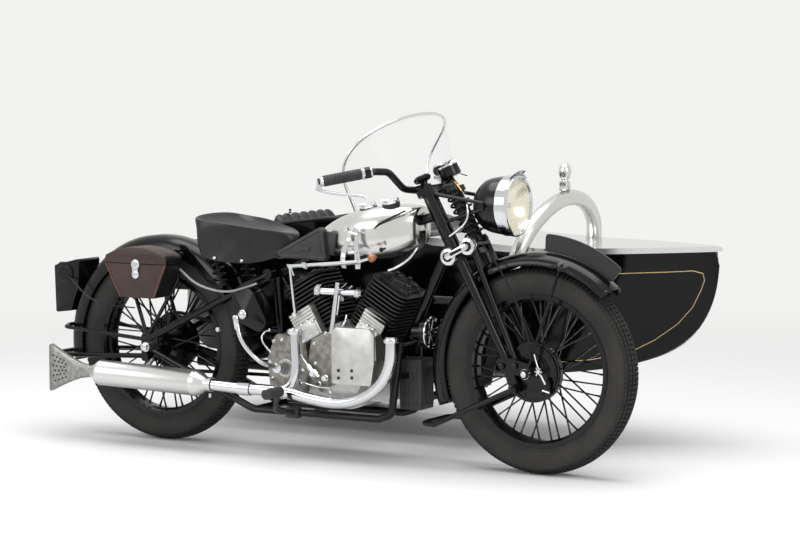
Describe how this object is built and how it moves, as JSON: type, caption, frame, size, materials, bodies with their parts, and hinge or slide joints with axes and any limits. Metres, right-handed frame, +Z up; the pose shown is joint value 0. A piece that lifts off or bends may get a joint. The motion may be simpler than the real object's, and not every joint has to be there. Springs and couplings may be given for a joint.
{
  "type": "sidecar motorcycle",
  "caption": "Large V-twin motorcycle with leading-link fork and a launch-shaped sidecar with open cockpit, bright hoop and curved screen.",
  "frame": {"origin": "on the ground, under the centre of the outfit's box", "axes": "+X forward, +Y to the left towards the sidecar, +Z up"},
  "size_m": [2.348, 1.5612, 1.1506],
  "materials": {
    "black_enamel": "gloss",
    "chrome": "polished",
    "cast_aluminium": "satin",
    "black_iron": "matt",
    "dark_steel": "oiled",
    "silver_plate": "silvered",
    "nickel_plate": "nickel",
    "black_rubber": "matt",
    "black_leather": "semi-gloss",
    "brown_leather": "satin",
    "tyre_rubber": "matt",
    "lamp_glass": "clear",
    "black_coachwork": "high gloss",
    "polished_aluminium": "polished",
    "clear_screen": "clear"
  },
  "bodies": {
    "chassis": {"battery_box": "black_rubber", "coaming": "black_leather", "crankcase": "cast_aluminium", "deck": "polished_aluminium", "exhaust_pipes": "chrome", "footrests": "black_rubber", "frame": "black_enamel", "front_cylinder": "black_iron", "gear_change": "chrome", "gearbox": "cast_aluminium", "hoop": "nickel_plate", "horn": "black_enamel", "hull": "black_coachwork", "inlet": "chrome", "kickstart": "chrome", "panniers": "brown_leather", "primary_case": "black_enamel", "rear_axle": "chrome", "rear_chain": "dark_steel", "rear_cylinder": "black_iron", "rear_lamp": "black_enamel", "rear_mudguard": "black_enamel", "rear_stays": "black_enamel", "saddle": "black_leather", "saddle_springs": "dark_steel", "sidecar_chassis": "black_enamel", "sidecar_mudguard": "black_enamel", "sidecar_seat": "black_leather", "silencer": "silver_plate", "tank": "nickel_plate", "tank_fittings": "black_rubber", "timing_covers": "cast_aluminium", "tool_box": "black_enamel", "windscreen": "clear_screen"},
    "fork": {"fork_yokes": "black_enamel", "rigid_legs": "black_enamel", "sprung_legs": "black_enamel", "fork_springs": "dark_steel", "fork_damper": "chrome", "front_axle": "chrome", "front_brake_plate": "black_enamel", "handlebar": "black_enamel", "hand_controls": "black_rubber", "instruments": "black_enamel", "headlamp": "black_enamel", "headlamp_glass": "lamp_glass", "front_mudguard": "black_enamel"},
    "front_wheel": {"front_tyre": "tyre_rubber", "front_wheel": "black_enamel"},
    "rear_wheel": {"rear_tyre": "tyre_rubber", "rear_wheel": "black_enamel"},
    "sidecar_wheel": {"sidecar_tyre": "tyre_rubber", "sidecar_wheel": "black_enamel"},
    "front_stand": {"front_stand": "black_enamel"},
    "rear_stand": {"rear_stand": "black_enamel"},
    "pannier_lid_right": {"pannier_lid_right": "brown_leather"},
    "pannier_lid_left": {"pannier_lid_left": "brown_leather"},
    "locker_lid": {"locker_lid": "black_coachwork"}
  },
  "joints": [
    {"name": "steering", "type": "hinge", "parent": "chassis", "child": "fork", "pos_m": [0.391, -0.37136, 0.9], "axis": [-0.4726, 0, 0.8813], "range_deg": [-32, 32]},
    {"name": "front_wheel_spin", "type": "hinge", "parent": "fork", "child": "front_wheel", "pos_m": [0.806, -0.37136, 0.345], "axis": [0, 1, 0], "continuous": true},
    {"name": "rear_wheel_spin", "type": "hinge", "parent": "chassis", "child": "rear_wheel", "pos_m": [-0.694, -0.37136, 0.345], "axis": [0, 1, 0], "continuous": true},
    {"name": "sidecar_wheel_spin", "type": "hinge", "parent": "chassis", "child": "sidecar_wheel", "pos_m": [-0.514, 0.71864, 0.345], "axis": [0, 1, 0], "continuous": true},
    {"name": "front_stand_swing", "type": "hinge", "parent": "fork", "child": "front_stand", "pos_m": [0.755, -0.37136, 0.289], "axis": [0, -1, 0], "range_deg": [0, 75]},
    {"name": "rear_stand_swing", "type": "hinge", "parent": "chassis", "child": "rear_stand", "pos_m": [-0.7, -0.37136, 0.312], "axis": [0, -1, 0], "range_deg": [0, 100]},
    {"name": "pannier_lid_right_hinge", "type": "hinge", "parent": "chassis", "child": "pannier_lid_right", "pos_m": [-0.694, -0.48336, 0.708], "axis": [-1, 0, 0], "range_deg": [0, 90]},
    {"name": "pannier_lid_left_hinge", "type": "hinge", "parent": "chassis", "child": "pannier_lid_left", "pos_m": [-0.694, -0.25936, 0.708], "axis": [1, 0, 0], "range_deg": [0, 90]},
    {"name": "locker_lid_hinge", "type": "hinge", "parent": "chassis", "child": "locker_lid", "pos_m": [-0.728, 0.28864, 0.716], "axis": [0, 1, 0], "range_deg": [0, 75]}
  ]
}
